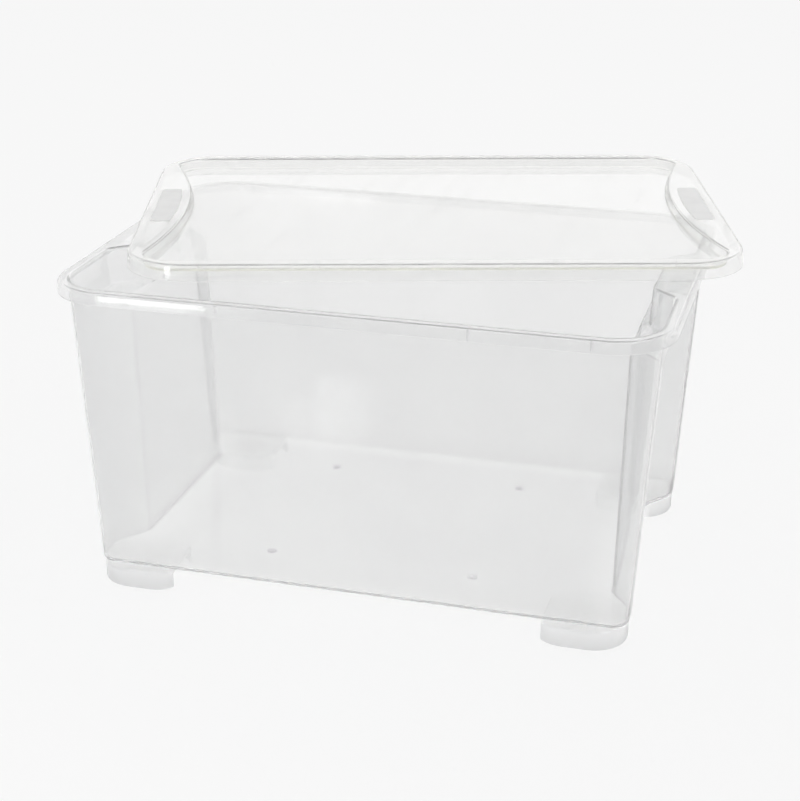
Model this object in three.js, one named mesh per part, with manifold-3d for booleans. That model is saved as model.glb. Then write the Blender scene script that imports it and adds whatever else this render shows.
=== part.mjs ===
// A clear plastic storage box on four hidden wheels, with its loose lid lying askew on the rim.
// Millimetres, +Z up, X along the length. The origin is the middle of the floor inside the tub.

import * as THREE from 'three';
import { mergeVertices } from 'three/addons/utils/BufferGeometryUtils.js';
import Module from 'manifold-3d';

// Tub
const RIM_LENGTH = 590; // outside of the rim, along X
const RIM_WIDTH = 413; // outside of the rim, along Y
const TUB_HEIGHT = 294.5; // flat underside to the top of the rim
const RIM_CORNER = 59; // plan radius of the rim's outer corners
const RIM_OVERHANG = 10.8; // how far the rim stands out from the wall
const RIM_DROP = 12; // height of the rim's turned-down skirt
const RIM_EDGE = 2.5; // rounding of the rim's top outer edge
const WALL = 2.2; // tub walls, rim flange and rim skirt
const FLOOR = 2.5;
const END_LEAN = 18; // how far an end wall leans in from rim to floor
const SIDE_LEAN = 23; // how far a long wall leans in from rim to floor
const BASE_CORNER = 18; // plan radius of the wall corners at the floor
const BASE_FILLET = 3.5; // rounding between wall and underside

// Hand hold in each end wall: a wide recess, and a narrower grip above its ledge
const RECESS_DEPTH = 23; // at the floor
const RECESS_LEAN = 6.3; // how far the recessed wall leans in from rim to floor
const RECESS_RUN = 43; // length of the S-shaped run at each side
const RECESS_MARGIN = 7.5; // from that run to the rim's corner
const LEDGE_DROP = 36.5; // top of the rim to the ledge inside the tub
const LEDGE_FALL = 2; // how far the ledge slopes down towards the tub's middle
const GRIP_DEPTH = 25;
const GRIP_FLAT = 84; // length of the grip's straight middle
const GRIP_RUN = 32; // length of the S-shaped run at each side

// Wheel housings, round cups with one flat, open side that faces the middle of the box
const HOUSING_SPAN = 90; // along X, as if round on both sides
const HOUSING_DEPTH = 72; // along Y
const HOUSING_CORNER = 34; // plan radius of the round sides
const HOUSING_FLAT = 33.7; // centre of the housing to its flat side
const HOUSING_BEND = 8; // plan radius of the corners beside the flat side
const HOUSING_WALL = 2.2;
const HOUSING_TOP = 2; // plate that lies against the tub
const HOUSING_FILLET = 2.5; // rounding of the top outer edge
const HOUSING_LIP = 2; // wall left above the open side
const HOUSING_SET_BACK = 1.5; // behind the tub's end, along X
const HOUSING_PROUD = 11.9; // beyond the tub's long side, along Y
const PEG_DIAMETER = 6; // tub pegs that hold a housing
const PEG_HEAD_DIAMETER = 9;
const PEG_HEAD = 1.5;
const PEG_MARGIN = 3; // peg head to the rounding above the open side

// Wheels and axle pins, turning about Y
const FLOOR_CLEARANCE = 3; // under the housings when the box stands on its wheels
const WHEEL_DIAMETER = 18;
const WHEEL_WIDTH = 16;
const WHEEL_CHAMFER = 1.5;
const WHEEL_HEADROOM = 1.7; // over a wheel, under the housing's top plate
const PIN_DIAMETER = 4;
const PIN_HEAD_DIAMETER = 7;
const PIN_HEAD = 1.4;
const PIN_TAIL = 1.5; // how far the plain end passes its cheek
const CHEEK = 3; // thickness of the two plates that carry a pin
const CHEEK_LENGTH = 14;

// Lid
const LID_WALL = 2;
const LID_SKIRT = 16.5; // height of the lid from the skirt's foot to the top
const LID_FLARE = 1.5; // how far the skirt spreads towards its foot
const LID_EDGE = 3; // rounding of the top outer edge
const LID_BEVEL = 2; // bevel round the sunk panel
const PANEL_DEPTH = 9.5; // lid top to the sunk panel
const PANEL_CORNER = 26; // plan radius of the panel's corners
const PANEL_BOW = 26; // how far the panel's short ends bow inward
const PANEL_LEAN = 1.5; // lean of the step wall round the panel
const LID_SHIFT_X = 0.6; // where the lid's centre lies, from the tub's centre
const LID_SHIFT_Y = 115.6;
const LID_TURN = 16.45; // degrees

// Grip pads let into the lid's short ends
const PAD_LENGTH = 122;
const PAD_MARGIN = 8; // from the lid's flat top edge, and from the panel's edge, to the pad
const PAD_CORNER = 5;
const PAD_THICKNESS = 1;
const PAD_PROUD = 0.3; // above the lid's top

// Clearances
const SEAT_GAP = 0.3; // between pieces that touch
const RUN_GAP = 0.35; // round a turning part
const SIDE_GAP = 0.6; // beside a turning wheel
const LID_FIT = 0.3; // lid skirt round the rim, when the lid is on
const STEP_FIT = 0.9; // lid step inside the rim, when the lid is on
const OVERCUT = 2; // how far a cut runs past the faces that it opens

// Facets
const CORNER_STEPS = 8;
const END_STEPS = 12;
const RUN_STEPS = 4;
const FILLET_STEPS = 3;
const ROUND_STEPS = 24;
const QUARTER_TURN = Math.PI / 2;

const HALF_LENGTH = RIM_LENGTH / 2;
const HALF_WIDTH = RIM_WIDTH / 2;
const BASE_HALF_LENGTH = HALF_LENGTH - RIM_OVERHANG - END_LEAN;
const BASE_HALF_WIDTH = HALF_WIDTH - RIM_OVERHANG - SIDE_LEAN;
const HOUSING_HEIGHT = WHEEL_DIAMETER + WHEEL_HEADROOM + HOUSING_TOP + SEAT_GAP - FLOOR_CLEARANCE;
const HOUSING_X = BASE_HALF_LENGTH - HOUSING_SET_BACK - HOUSING_SPAN / 2;
const HOUSING_Y = BASE_HALF_WIDTH + HOUSING_PROUD - HOUSING_DEPTH / 2;
const HOUSING_ROUND = Math.min(HOUSING_CORNER, HOUSING_SPAN / 2, HOUSING_DEPTH / 2);
const HOUSING_CENTRE_X = HOUSING_SPAN / 2 - HOUSING_ROUND;
const HOUSING_CENTRE_Y = HOUSING_DEPTH / 2 - HOUSING_ROUND;
const BEND_X = HOUSING_BEND - HOUSING_FLAT;
const BEND_RISE = Math.sqrt((HOUSING_ROUND - HOUSING_BEND) ** 2 - (BEND_X + HOUSING_CENTRE_X) ** 2);
const BEND_Y = HOUSING_CENTRE_Y + BEND_RISE;
const GROUND_Z = -HOUSING_HEIGHT - FLOOR_CLEARANCE;
const AXLE_Z = GROUND_Z + WHEEL_DIAMETER / 2;
const CHEEK_Y = WHEEL_WIDTH / 2 + SIDE_GAP + CHEEK / 2;
const PEG_REACH = HOUSING_FLAT - HOUSING_FILLET - PEG_HEAD_DIAMETER / 2 - PEG_MARGIN;
const LID_TOP_Z = TUB_HEIGHT + SEAT_GAP + LID_SKIRT;
const LID_EDGE_X = HALF_LENGTH + LID_FIT + LID_WALL - LID_EDGE;
const STEP_INSET = RIM_OVERHANG + WALL + STEP_FIT + LID_WALL;
const PANEL_EDGE_X = HALF_LENGTH - STEP_INSET + LID_BEVEL;
const PANEL_STRAIGHT = HALF_WIDTH - STEP_INSET - PANEL_CORNER;
const RECESS_FLAT = HALF_WIDTH - RIM_CORNER - RECESS_MARGIN - RECESS_RUN; // half of its straight middle
const LEDGE_Z = TUB_HEIGHT - LEDGE_DROP;
const HALF_STOPS = [...runStops(GRIP_FLAT / 2, GRIP_RUN), ...runStops(RECESS_FLAT, RECESS_RUN)].sort((a, b) => a - b);
const END_STOPS = [...HALF_STOPS.map((y) => -y).reverse(), ...HALF_STOPS]; // where a tub end has points along Y

const wasm = await Module();
wasm.setup();

// Turns a closed three.js geometry into a solid that can be cut and joined.
function toSolid(geometry) {
  const bare = geometry.clone();
  bare.deleteAttribute('normal');
  bare.deleteAttribute('uv');
  const merged = mergeVertices(bare);
  return new wasm.Manifold(new wasm.Mesh({
    numProp: 3,
    vertProperties: new Float32Array(merged.attributes.position.array),
    triVerts: new Uint32Array(merged.index.array),
  }));
}

function toGeometry(solid) {
  const mesh = solid.getMesh();
  const geometry = new THREE.BufferGeometry();
  geometry.setAttribute('position', new THREE.BufferAttribute(mesh.vertProperties, 3));
  geometry.setIndex(new THREE.BufferAttribute(mesh.triVerts, 1));
  geometry.computeVertexNormals();
  return geometry;
}

// Points of an arc about a centre, from one angle to another, ends included.
function arcPoints(x, y, radius, start, end, z) {
  const points = [];
  for (let i = 0; i <= CORNER_STEPS; i += 1) {
    const angle = start + (end - start) * i / CORNER_STEPS;
    points.push(new THREE.Vector3(x + radius * Math.cos(angle), y + radius * Math.sin(angle), z));
  }
  return points;
}

// How far a short end of the panel is bowed inward, at y along it.
function bowAt(y, bow) {
  return bow * (1 - (y / PANEL_STRAIGHT) ** 2);
}

// Points strictly between the two corners of a short end.
function endPoints(side, halfX, halfStraight, steps, bow, z) {
  const points = [];
  for (let i = 1; i < steps; i += 1) {
    const y = side * halfStraight * (2 * i / steps - 1);
    points.push(new THREE.Vector3(side * (halfX - bowAt(y, bow)), y, z));
  }
  return points;
}

// Places along Y where a run has its points, from the straight middle outward.
function runStops(flat, run) {
  return Array.from({ length: RUN_STEPS + 1 }, (_, i) => flat + run * i / RUN_STEPS);
}

// How far a tub end is set in at y along it: level in the middle, running out to nothing in an S.
function setIn(y, depth, flat, run) {
  return depth * (1 - THREE.MathUtils.smoothstep(Math.abs(y), flat, flat + run));
}

// Points of a tub end, each set in by the given function of y.
function tubEnd(side, halfX, z, inAt) {
  return END_STOPS.map((y) => new THREE.Vector3(side * (halfX - inAt(y)), side * y, z));
}

// A level ring, counter-clockwise: a rectangle with round corners and the given points on its short ends.
function ring(halfX, halfY, radius, z, end) {
  const x = halfX - radius;
  const y = halfY - radius;
  return [
    ...arcPoints(x, y, radius, 0, QUARTER_TURN, z),
    ...arcPoints(-x, y, radius, QUARTER_TURN, 2 * QUARTER_TURN, z),
    ...end(-1),
    ...arcPoints(-x, -y, radius, 2 * QUARTER_TURN, 3 * QUARTER_TURN, z),
    ...arcPoints(x, -y, radius, 3 * QUARTER_TURN, 4 * QUARTER_TURN, z),
    ...end(1),
  ];
}

// A ring whose short ends bow inward.
function bowedRing(halfX, halfY, radius, z, bow) {
  return ring(halfX, halfY, radius, z, (side) => endPoints(side, halfX, halfY - radius, END_STEPS, bow, z));
}

// The closed skin through a list of rings, with a flat cap on the first and the last.
function skin(rings) {
  const count = rings[0].length;
  const positions = rings.flat().flatMap((point) => point.toArray());
  const index = [];
  for (let r = 0; r + 1 < rings.length; r += 1) {
    for (let i = 0; i < count; i += 1) {
      const next = (i + 1) % count;
      const low = r * count;
      const high = low + count;
      index.push(low + i, low + next, high + next, low + i, high + next, high + i);
    }
  }
  const firstCentre = rings.length * count;
  const lastCentre = firstCentre + 1;
  const lastRing = (rings.length - 1) * count;
  positions.push(0, 0, rings[0][0].z, 0, 0, rings[rings.length - 1][0].z);
  for (let i = 0; i < count; i += 1) {
    const next = (i + 1) % count;
    index.push(firstCentre, next, i, lastCentre, lastRing + i, lastRing + next);
  }
  const geometry = new THREE.BufferGeometry();
  geometry.setAttribute('position', new THREE.Float32BufferAttribute(positions, 3));
  geometry.setIndex(index);
  geometry.computeVertexNormals();
  return geometry;
}

// Steps round a quarter turn, from 0 to 90 degrees, as [sine, cosine].
function quarterSteps() {
  return Array.from({ length: FILLET_STEPS + 1 }, (_, i) => {
    const angle = QUARTER_TURN * i / FILLET_STEPS;
    return [Math.sin(angle), Math.cos(angle)];
  });
}

// A ring of the tub, set in from the rim's outside by the same amount all round.
function rimRing(inset, z) {
  const halfX = HALF_LENGTH - inset;
  return ring(halfX, HALF_WIDTH - inset, RIM_CORNER - inset, z, (side) => tubEnd(side, halfX, z, () => 0));
}

// The two shapes of the hand hold, as functions of y at height z.
const recess = (z) => (y) =>
  setIn(y, RECESS_DEPTH + (END_LEAN - RECESS_LEAN) * z / TUB_HEIGHT, RECESS_FLAT, RECESS_RUN);
const grip = () => (y) => setIn(y, GRIP_DEPTH, GRIP_FLAT / 2, GRIP_RUN);

// A ring of the leaning wall at height z, set in from the wall's outside, with a hand hold in each end.
function wallRing(inset, z, hold) {
  const drop = 1 - z / TUB_HEIGHT;
  const halfX = HALF_LENGTH - RIM_OVERHANG - END_LEAN * drop - inset;
  const halfY = HALF_WIDTH - RIM_OVERHANG - SIDE_LEAN * drop - inset;
  const radius = THREE.MathUtils.lerp(RIM_CORNER - RIM_OVERHANG, BASE_CORNER, drop) - inset;
  return ring(halfX, halfY, radius, z, (side) => tubEnd(side, halfX, z, hold(z)));
}

function tubShell() {
  const innerFillet = BASE_FILLET - WALL;
  const outside = quarterSteps()
    .map(([sine, cosine]) => wallRing(BASE_FILLET * (1 - sine), BASE_FILLET * (1 - cosine), recess));
  const rimEdge = quarterSteps()
    .map(([sine, cosine]) => rimRing(RIM_EDGE * (1 - cosine), TUB_HEIGHT - RIM_EDGE * (1 - sine)));
  const inside = quarterSteps().reverse()
    .map(([sine, cosine]) => wallRing(WALL + innerFillet * (1 - sine), FLOOR + innerFillet * (1 - cosine), recess));
  return skin([
    ...outside,
    wallRing(0, LEDGE_Z - WALL - LEDGE_FALL, recess),
    wallRing(0, LEDGE_Z - WALL, grip),
    wallRing(0, TUB_HEIGHT - WALL, grip),
    rimRing(WALL, TUB_HEIGHT - WALL),
    rimRing(WALL, TUB_HEIGHT - RIM_DROP),
    rimRing(0, TUB_HEIGHT - RIM_DROP),
    ...rimEdge,
    wallRing(WALL, TUB_HEIGHT, grip),
    wallRing(WALL, LEDGE_Z, grip),
    wallRing(WALL, LEDGE_Z - LEDGE_FALL, recess),
    ...inside,
  ]);
}

// A headed peg that hangs from the tub's underside, through a housing's top plate.
function peg(x, y) {
  const shaft = PEG_DIAMETER / 2;
  const head = PEG_HEAD_DIAMETER / 2;
  const headTop = -HOUSING_TOP - 2 * SEAT_GAP;
  const root = FLOOR / 2;
  const profile = [
    [0, headTop - PEG_HEAD],
    [head, headTop - PEG_HEAD],
    [head, headTop],
    [shaft, headTop],
    [shaft, root],
    [0, root],
  ].map(([radius, z]) => new THREE.Vector2(radius, z));
  return new THREE.LatheGeometry(profile, ROUND_STEPS).rotateX(QUARTER_TURN).translate(x, y, 0);
}

function tubGeometry() {
  let tub = toSolid(tubShell());
  for (const x of [-HOUSING_X, HOUSING_X]) {
    for (const y of [-HOUSING_Y, HOUSING_Y]) {
      tub = tub.add(toSolid(peg(x - PEG_REACH, y))).add(toSolid(peg(x + PEG_REACH, y)));
    }
  }
  return toGeometry(tub);
}

// A ring of the housing: round on three sides and flat towards -X.
function housingRing(inset, z) {
  const radius = HOUSING_ROUND - inset;
  const bend = HOUSING_BEND - inset;
  const meet = Math.atan2(BEND_RISE, BEND_X + HOUSING_CENTRE_X);
  const half = 2 * QUARTER_TURN;
  const full = 4 * QUARTER_TURN;
  return [
    ...arcPoints(HOUSING_CENTRE_X, HOUSING_CENTRE_Y, radius, 0, QUARTER_TURN, z),
    ...arcPoints(-HOUSING_CENTRE_X, HOUSING_CENTRE_Y, radius, QUARTER_TURN, meet, z),
    ...arcPoints(BEND_X, BEND_Y, bend, meet, half, z).slice(1),
    ...arcPoints(BEND_X, -BEND_Y, bend, half, full - meet, z),
    ...arcPoints(-HOUSING_CENTRE_X, -HOUSING_CENTRE_Y, radius, full - meet, 3 * QUARTER_TURN, z).slice(1),
    ...arcPoints(HOUSING_CENTRE_X, -HOUSING_CENTRE_Y, radius, 3 * QUARTER_TURN, full, z),
  ];
}

function housingGeometry() {
  const top = -SEAT_GAP;
  const ceiling = top - HOUSING_TOP;
  const topEdge = quarterSteps()
    .map(([sine, cosine]) => housingRing(HOUSING_FILLET * (1 - cosine), top - HOUSING_FILLET * (1 - sine)));
  const cup = skin([
    housingRing(HOUSING_WALL, ceiling),
    housingRing(HOUSING_WALL, -HOUSING_HEIGHT),
    housingRing(0, -HOUSING_HEIGHT),
    ...topEdge,
  ]);
  const sideTop = ceiling - HOUSING_LIP;
  const sideFoot = -HOUSING_HEIGHT - OVERCUT;
  const openSide = new THREE.BoxGeometry(HOUSING_WALL + 2 * OVERCUT, 2 * BEND_Y, sideTop - sideFoot)
    .translate(HOUSING_WALL / 2 - HOUSING_FLAT, 0, (sideTop + sideFoot) / 2);
  let housing = toSolid(cup).subtract(toSolid(openSide));

  const cheekFoot = AXLE_Z - PIN_HEAD_DIAMETER / 2;
  const cheekTop = top - HOUSING_TOP / 2;
  for (const side of [-1, 1]) {
    const cheek = new THREE.BoxGeometry(CHEEK_LENGTH, CHEEK, cheekTop - cheekFoot)
      .translate(0, side * CHEEK_Y, (cheekTop + cheekFoot) / 2);
    housing = housing.add(toSolid(cheek));
  }

  const boreRadius = PIN_DIAMETER / 2 + SEAT_GAP;
  const boreLength = 2 * CHEEK_Y + CHEEK + 2 * OVERCUT;
  const bore = new THREE.CylinderGeometry(boreRadius, boreRadius, boreLength, ROUND_STEPS)
    .translate(0, 0, AXLE_Z);
  housing = housing.subtract(toSolid(bore));

  const holeRadius = PEG_DIAMETER / 2 + SEAT_GAP;
  for (const side of [-1, 1]) {
    const hole = new THREE.CylinderGeometry(holeRadius, holeRadius, HOUSING_TOP + 2 * OVERCUT, ROUND_STEPS)
      .rotateX(QUARTER_TURN)
      .translate(side * PEG_REACH, 0, top - HOUSING_TOP / 2);
    housing = housing.subtract(toSolid(hole));
  }
  return toGeometry(housing);
}

// Revolved about Y from [radius, y] pairs.
function turned(profile) {
  const points = profile.map(([radius, y]) => new THREE.Vector2(radius, y));
  const geometry = new THREE.LatheGeometry(points, ROUND_STEPS);
  return toGeometry(toSolid(geometry));
}

function wheelGeometry() {
  const outer = WHEEL_DIAMETER / 2;
  const bore = PIN_DIAMETER / 2 + RUN_GAP;
  const half = WHEEL_WIDTH / 2;
  return turned([
    [bore, -half],
    [outer - WHEEL_CHAMFER, -half],
    [outer, WHEEL_CHAMFER - half],
    [outer, half - WHEEL_CHAMFER],
    [outer - WHEEL_CHAMFER, half],
    [bore, half],
    [bore, -half],
  ]);
}

// The pin's head lies outside one cheek and its plain end passes the other.
function pinGeometry() {
  const shaft = PIN_DIAMETER / 2;
  const head = PIN_HEAD_DIAMETER / 2;
  const headFace = -CHEEK_Y - CHEEK / 2 - SEAT_GAP;
  return turned([
    [0, headFace - PIN_HEAD],
    [head, headFace - PIN_HEAD],
    [head, headFace],
    [shaft, headFace],
    [shaft, CHEEK_Y + CHEEK / 2 + PIN_TAIL],
    [0, CHEEK_Y + CHEEK / 2 + PIN_TAIL],
  ]);
}

// A ring of the lid's outer form, grown from the rim's outside. Heights are below the lid's top.
function lidRing(grow, z) {
  return bowedRing(HALF_LENGTH + grow, HALF_WIDTH + grow, RIM_CORNER + grow, z, 0);
}

// A ring of the sunk panel's step, grown from the step's inner face at the foot of the bevel.
function panelRing(grow, z) {
  const inset = STEP_INSET - grow;
  return bowedRing(HALF_LENGTH - inset, HALF_WIDTH - inset, PANEL_CORNER + grow, z, PANEL_BOW);
}

// A D: straight towards the lid's edge, and curved alongside the panel's bowed end.
function padOutline(grow) {
  const half = PAD_LENGTH / 2 + grow;
  const bend = half - PAD_CORNER;
  const outer = LID_EDGE_X - PAD_MARGIN + grow;
  const middle = PANEL_EDGE_X - bowAt(0, PANEL_BOW) + PAD_MARGIN - grow;
  const inner = PANEL_EDGE_X - bowAt(bend, PANEL_BOW) + PAD_MARGIN - grow;
  const shape = new THREE.Shape();
  shape.moveTo(outer, -bend);
  shape.lineTo(outer, bend);
  shape.quadraticCurveTo(outer, half, outer - PAD_CORNER, half);
  shape.lineTo(inner + PAD_CORNER, half);
  shape.quadraticCurveTo(inner, half, inner, bend);
  shape.quadraticCurveTo(2 * middle - inner, 0, inner, -bend);
  shape.quadraticCurveTo(inner, -half, inner + PAD_CORNER, -half);
  shape.lineTo(outer - PAD_CORNER, -half);
  shape.quadraticCurveTo(outer, -half, outer, -bend);
  return shape;
}

function padBlock(grow, bottom, top) {
  return new THREE.ExtrudeGeometry(padOutline(grow), {
    depth: top - bottom,
    bevelEnabled: false,
    curveSegments: CORNER_STEPS,
  }).translate(0, 0, bottom);
}

function padGeometry() {
  return toGeometry(toSolid(padBlock(0, PAD_PROUD - PAD_THICKNESS, PAD_PROUD)));
}

function lidGeometry() {
  const outer = LID_FIT + LID_WALL;
  const topEdge = quarterSteps()
    .map(([sine, cosine]) => lidRing(outer - LID_EDGE * (1 - cosine), -LID_EDGE * (1 - sine)));
  const shell = skin([
    panelRing(LID_WALL - PANEL_LEAN, -PANEL_DEPTH - LID_WALL),
    panelRing(LID_WALL, -LID_WALL),
    lidRing(LID_FIT, -LID_WALL),
    lidRing(LID_FIT + LID_FLARE, -LID_SKIRT),
    lidRing(outer + LID_FLARE, -LID_SKIRT),
    ...topEdge,
    panelRing(LID_BEVEL, 0),
    panelRing(0, -LID_BEVEL),
    panelRing(-PANEL_LEAN, -PANEL_DEPTH),
  ]);
  const pocket = padBlock(SEAT_GAP, PAD_PROUD - PAD_THICKNESS - SEAT_GAP, OVERCUT);
  const otherPocket = pocket.clone().rotateZ(Math.PI);
  return toGeometry(toSolid(shell).subtract(toSolid(pocket)).subtract(toSolid(otherPocket)));
}

const clearPlastic = { color: '#e4e5e6', roughness: 0.18, metalness: 0 };
const greyPlastic = { color: '#d3d4d5', roughness: 0.4, metalness: 0 };
const wheelPlastic = { color: '#eceded', roughness: 0.35, metalness: 0 };
const pinSteel = { color: '#b9bcbf', roughness: 0.3, metalness: 1 };

function namedMesh(name, geometry, finish) {
  const mesh = new THREE.Mesh(geometry, new THREE.MeshStandardMaterial(finish));
  mesh.name = name;
  return mesh;
}

const box = new THREE.Group();
box.position.z = -FLOOR;
box.add(namedMesh('tub', tubGeometry(), clearPlastic));

const corners = [
  ['front_left', -1, -1],
  ['front_right', 1, -1],
  ['rear_left', -1, 1],
  ['rear_right', 1, 1],
];
const housing = housingGeometry();
const wheel = wheelGeometry();
const pin = pinGeometry();
for (const [place, sideX, sideY] of corners) {
  const corner = new THREE.Group();
  corner.position.set(sideX * HOUSING_X, sideY * HOUSING_Y, 0);
  corner.rotation.z = sideX > 0 ? 0 : Math.PI;
  corner.add(namedMesh(`wheel_housing_${place}`, housing, clearPlastic));
  const axle = new THREE.Group();
  axle.position.z = AXLE_Z;
  axle.add(namedMesh(`wheel_${place}`, wheel, wheelPlastic));
  axle.add(namedMesh(`axle_pin_${place}`, pin, pinSteel));
  corner.add(axle);
  box.add(corner);
}

const lid = new THREE.Group();
lid.position.set(LID_SHIFT_X, LID_SHIFT_Y, LID_TOP_Z);
lid.rotation.z = THREE.MathUtils.degToRad(LID_TURN);
lid.add(namedMesh('lid', lidGeometry(), clearPlastic));
for (const [side, turn] of [['right', 0], ['left', Math.PI]]) {
  const pad = namedMesh(`lid_grip_pad_${side}`, padGeometry(), greyPlastic);
  pad.rotation.z = turn;
  lid.add(pad);
}
box.add(lid);

export default box;
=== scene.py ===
import math
import bpy
import numpy as np
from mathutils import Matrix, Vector


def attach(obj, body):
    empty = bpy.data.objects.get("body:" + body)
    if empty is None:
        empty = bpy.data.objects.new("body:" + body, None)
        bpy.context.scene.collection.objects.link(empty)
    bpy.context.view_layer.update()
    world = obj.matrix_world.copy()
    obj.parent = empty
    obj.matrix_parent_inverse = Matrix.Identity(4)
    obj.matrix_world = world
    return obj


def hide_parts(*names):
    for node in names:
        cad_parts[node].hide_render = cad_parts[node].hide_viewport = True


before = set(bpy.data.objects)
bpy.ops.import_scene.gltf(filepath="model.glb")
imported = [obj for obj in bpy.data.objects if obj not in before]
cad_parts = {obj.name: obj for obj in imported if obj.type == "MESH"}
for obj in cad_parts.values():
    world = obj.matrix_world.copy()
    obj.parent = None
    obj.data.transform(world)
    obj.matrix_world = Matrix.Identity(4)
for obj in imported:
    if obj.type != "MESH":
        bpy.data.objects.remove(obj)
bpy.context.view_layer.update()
scene = bpy.context.scene
mm = 0.001
sharpAngle = math.radians(32.0)  # edges that turn further stay sharp


# camera

view = {
    "azimuth": 15.84,  # degrees round the box, to the right of its front
    "elevation": 22.13,
    "distance": 1813.23,  # mm from the target
    "target": (0.0, 0.0, 125.5),
    "lens": 79.565,
    "sensor": 36.0,
    "shiftX": -0.00075,
    "shiftY": 0.00751,
    "farClip": 100.0,  # metres
}


def makeCamera(v):
    # stands back from the target along the direction that azimuth and elevation give
    a, e = math.radians(v["azimuth"]), math.radians(v["elevation"])
    back = Vector((math.sin(a) * math.cos(e), -math.cos(a) * math.cos(e), math.sin(e)))
    data = bpy.data.cameras.new("photoCamera")
    data.sensor_fit = "HORIZONTAL"
    data.sensor_width = v["sensor"]
    data.lens = v["lens"]
    data.shift_x, data.shift_y = v["shiftX"], v["shiftY"]
    data.clip_end = v["farClip"]
    camera = bpy.data.objects.new("photoCamera", data)
    scene.collection.objects.link(camera)
    camera.location = (Vector(v["target"]) + back * v["distance"]) * mm
    camera.rotation_euler = (-back).to_track_quat("-Z", "Y").to_euler()
    scene.camera = camera


makeCamera(view)
print("camera set")


# shapes

def spread(*values):
    # numbers and lists as arrays of one length
    return np.broadcast_arrays(*(np.asarray(v, float) for v in values))


def roundPath(cornerSteps, sideStops, endStops):
    # once round a rounded rectangle: on a side the turning centre slides, at a corner the angle turns
    sideStops, endStops = np.asarray(sideStops, float), np.asarray(endStops, float)
    turn = np.linspace(0.0, 0.5 * np.pi, cornerSteps + 1)
    one, side, end = np.ones(cornerSteps + 1), np.ones(len(sideStops)), np.ones(len(endStops))
    slideX = np.concatenate([one, sideStops[::-1], -one, -end, -one, sideStops, one, end])
    slideY = np.concatenate([one, side, one, endStops[::-1], -one, -side, -one, endStops])
    angle = np.concatenate([turn, 0.5 * np.pi * side, turn + 0.5 * np.pi, np.pi * end,
                            turn + np.pi, 1.5 * np.pi * side, turn + 1.5 * np.pi, 2 * np.pi * end])
    return slideX, slideY, angle


def ringStack(path, halfX, halfY, radius, z, bow=0.0, straight=1.0):
    # a point is its corner centre plus the radius along its angle; bow pulls the short ends in by a parabola
    slideX, slideY, angle = path
    halfX, halfY, radius, z, bow, straight = (np.asarray(v, float).reshape(-1, 1)
                                              for v in (halfX, halfY, radius, z, bow, straight))
    x = slideX * (halfX - radius) + radius * np.cos(angle)
    y = slideY * (halfY - radius) + radius * np.sin(angle)
    x = x - np.sign(x) * bow * np.clip(1.0 - (y / straight) ** 2, 0.0, None)
    return np.stack([x, y, np.broadcast_to(z, x.shape)], -1)


def plateOutline(path, halfX, halfY, radius):
    # one rounded rectangle about the origin, as x and y
    return ringStack(path, [halfX], [halfY], [radius], [0.0])[0][:, :2]


def quarter(steps):
    # sine and cosine over a quarter turn
    t = np.linspace(0.0, 0.5 * np.pi, steps + 1)
    return np.sin(t), np.cos(t)


def drawnIn(ring, shares):
    # a ring's sizes times each share, at its own height, towards the middle of a flat
    return np.concatenate([ring[:3] * shares, ring[3:4] + 0 * shares, ring[4:] * shares])


def loft(rings, closeEnds=True, joinLast=False):
    # quads between rings that follow each other, and a fan to the middle of the first and the last
    count, size = rings.shape[:2]
    i = np.arange(size)
    j = (i + 1) % size
    low = (np.arange(count if joinLast else count - 1) * size)[:, None]
    high = (low + size) % (count * size)
    faces = [np.stack([low + i, low + j, high + j, high + i], -1).reshape(-1, 4)]
    points = rings.reshape(-1, 3)
    if closeEnds:
        first, last = count * size, count * size + 1
        top = (count - 1) * size
        points = np.concatenate([points, rings[0].mean(0)[None], rings[-1].mean(0)[None]])
        faces.append(np.stack([np.full(size, first), j, i], -1))
        faces.append(np.stack([np.full(size, last), top + i, top + j], -1))
    return points, faces


def joined(parts):
    # several shapes as one, each one's face numbers raised by the points before it
    starts = np.cumsum([0] + [len(points) for points, _ in parts])
    faces = [f + start for (_, fs), start in zip(parts, starts) for f in fs]
    return np.concatenate([points for points, _ in parts]), faces


def lathe(profile, steps, axis="Z"):
    # radius and height pairs carried round an axis
    profile = np.asarray(profile, float)
    a = np.linspace(0.0, 2 * np.pi, steps, endpoint=False)
    r, h = profile[:, :1], profile[:, 1:]
    ring = [r * np.cos(a), r * np.sin(a), np.broadcast_to(h, (len(profile), steps))]
    if axis == "Y":
        ring = [r * np.sin(a), ring[2], r * np.cos(a)]
    return np.stack(ring, -1)


def moved(shape, turn, shift):
    # turned about Z, then shifted
    points, faces = shape
    c, s = math.cos(turn), math.sin(turn)
    x, y, z = np.asarray(points, float).T
    return np.stack([x * c - y * s, x * s + y * c, z], -1) + np.asarray(shift, float), faces


def putMesh(name, shape):
    # points in mm become an object in metres, smooth except at sharp edges
    points, faces = shape
    mesh = bpy.data.meshes.new(name)
    mesh.from_pydata((np.asarray(points) * mm).tolist(), [], sum((f.tolist() for f in faces), []))
    mesh.update()
    mesh.polygons.foreach_set("use_smooth", np.ones(len(mesh.polygons), bool))
    mesh.set_sharp_from_angle(angle=sharpAngle)
    obj = bpy.data.objects.new(name, mesh)
    scene.collection.objects.link(obj)
    return obj


def place(obj, material, body, node=None):
    # gives a piece its material and body, and hides the node that it replaces
    obj.data.materials.clear()
    obj.data.materials.append(material)
    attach(obj, body)
    if node:
        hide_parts(node)
    return obj


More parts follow.
